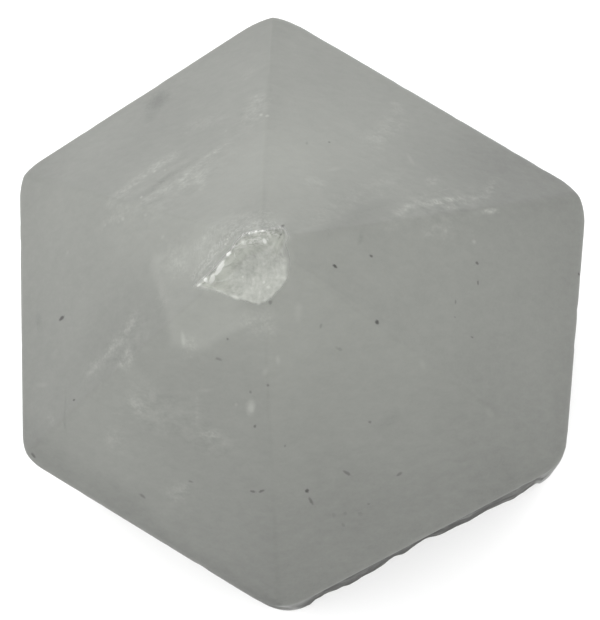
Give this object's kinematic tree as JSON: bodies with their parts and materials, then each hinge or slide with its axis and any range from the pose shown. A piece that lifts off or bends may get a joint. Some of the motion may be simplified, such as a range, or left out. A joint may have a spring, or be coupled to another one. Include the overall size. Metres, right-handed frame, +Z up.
{
  "type": "quartz crystal",
  "caption": "Milky quartz point: a six-sided prism with worn corners under a six-faced pyramid with a snapped tip, standing on a flat cut foot.",
  "frame": {"origin": "on the flat cut foot, at the middle of the bounding box", "axes": "+Z up along the crystal's long axis, from the cut foot to the tip; +Y towards the back corner"},
  "size_m": [0.0496, 0.0494, 0.0578],
  "materials": {
    "quartz": "satin"
  },
  "bodies": {
    "root": {"crystal": "quartz"}
  },
  "joints": []
}
